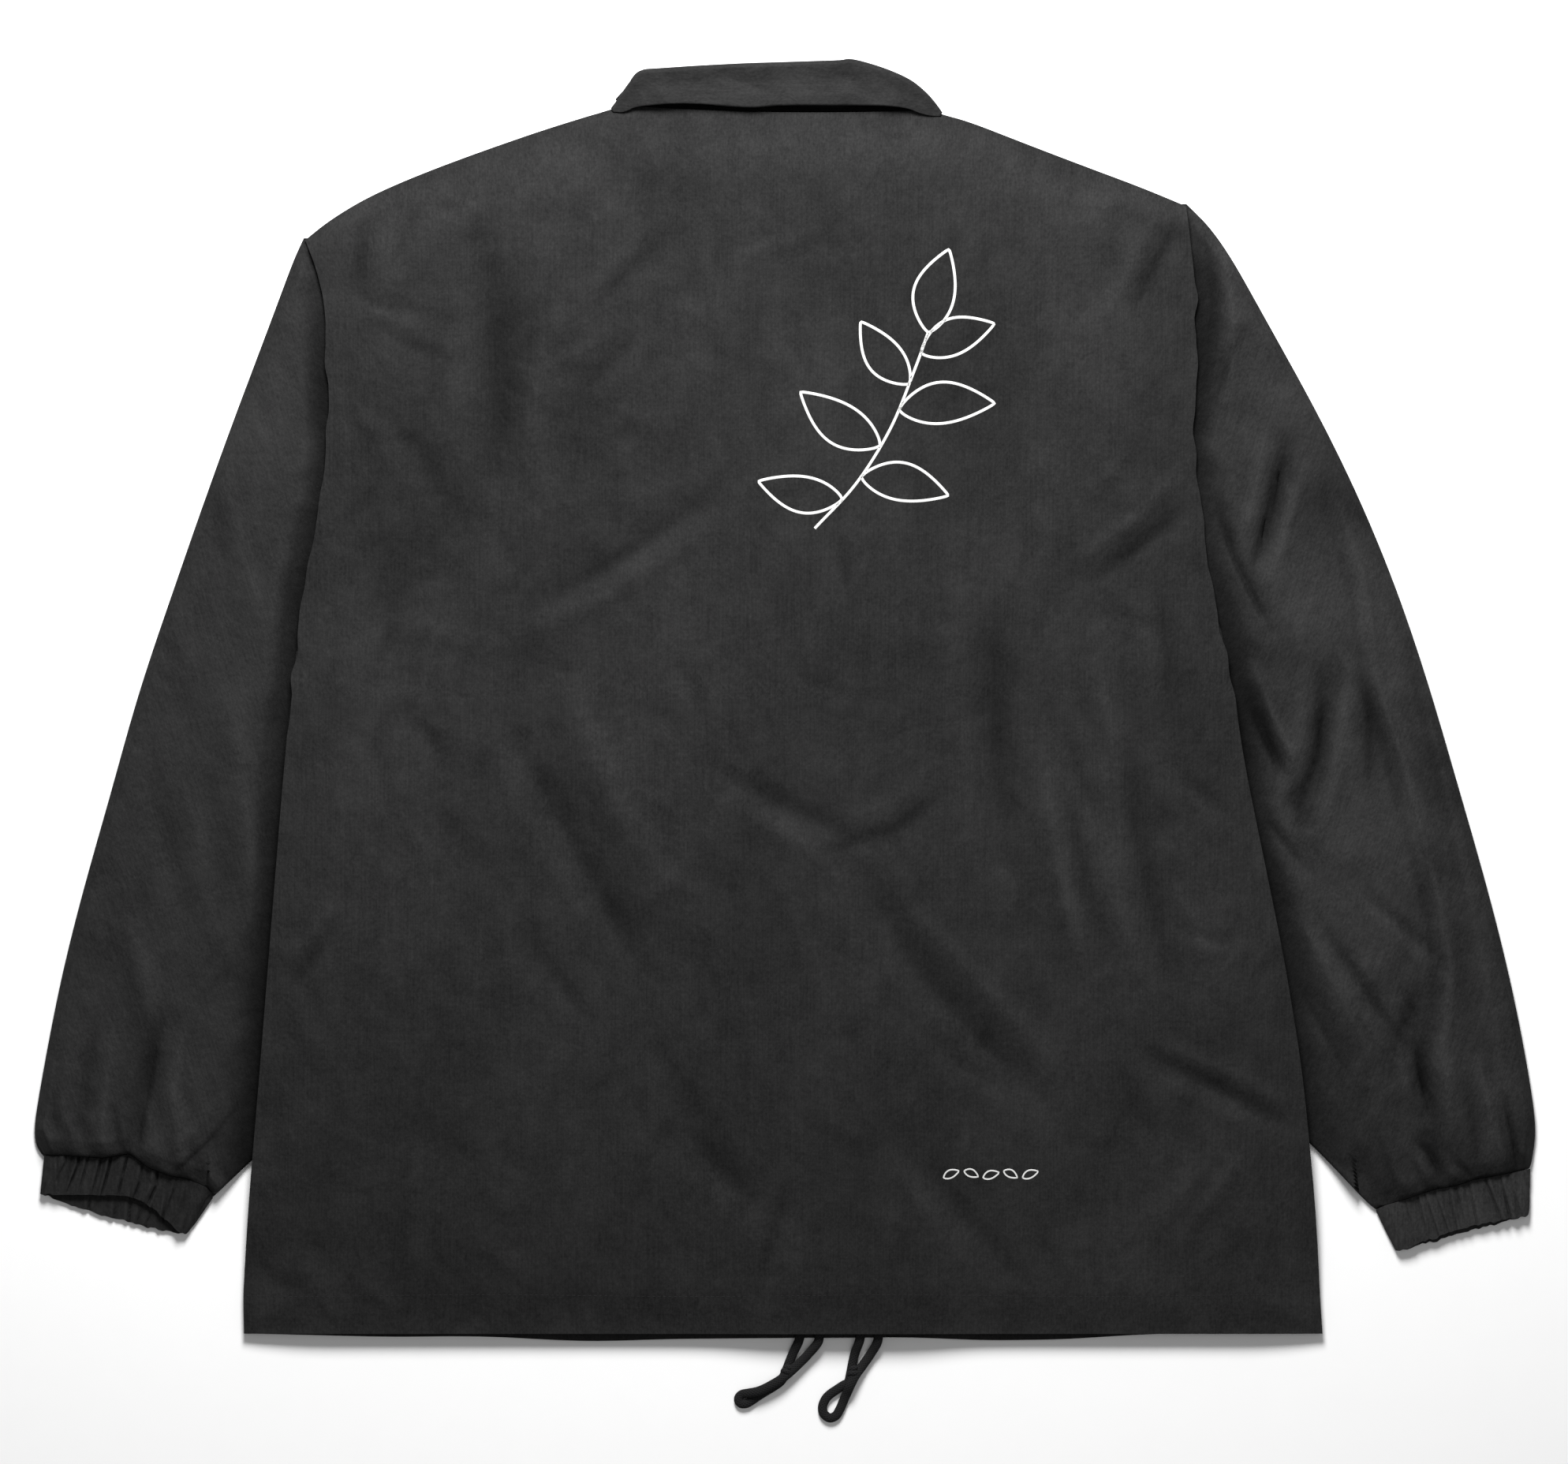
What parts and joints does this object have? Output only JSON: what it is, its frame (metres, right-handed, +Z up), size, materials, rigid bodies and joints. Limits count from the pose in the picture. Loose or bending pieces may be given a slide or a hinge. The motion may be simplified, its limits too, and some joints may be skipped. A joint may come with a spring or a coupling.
{
  "type": "coach jacket",
  "caption": "Nylon coach jacket laid flat on its front: one-piece back, set-in sleeves with gathered elastic cuffs, fold-over collar and looped hem cords.",
  "frame": {"origin": "middle of the bounding box in plan, at the lowest cloth, which lies on the surface; measured without the hem cords", "axes": "+X towards the wearer's right sleeve, +Y from the hem towards the collar, +Z up from the surface towards the back of the jacket"},
  "size_m": [0.8761, 0.7941, 0.0121],
  "materials": {
    "shell_fabric": "matt woven nylon, slightly faded black",
    "cord_fabric": "matt braided cord",
    "print_ink": "matt off-white screen print",
    "snap_cap": "dark enamelled cap",
    "eyelet_metal": "dark painted ring"
  },
  "bodies": {
    "root": {"back_panel": "shell_fabric", "front_left": "shell_fabric", "front_right": "shell_fabric", "sleeve_left": "shell_fabric", "sleeve_right": "shell_fabric", "cuff_left": "shell_fabric", "cuff_right": "shell_fabric", "collar": "shell_fabric", "snap_1": "snap_cap", "snap_2": "snap_cap", "snap_3": "snap_cap", "snap_4": "snap_cap", "snap_5": "snap_cap", "eyelet_left": "eyelet_metal", "eyelet_right": "eyelet_metal", "cord_left_strand_a": "cord_fabric", "cord_left_strand_b": "cord_fabric", "cord_left_loop": "cord_fabric", "cord_left_knot": "cord_fabric", "cord_right_strand_a": "cord_fabric", "cord_right_strand_b": "cord_fabric", "cord_right_loop": "cord_fabric", "cord_right_knot": "cord_fabric"}
  },
  "joints": []
}
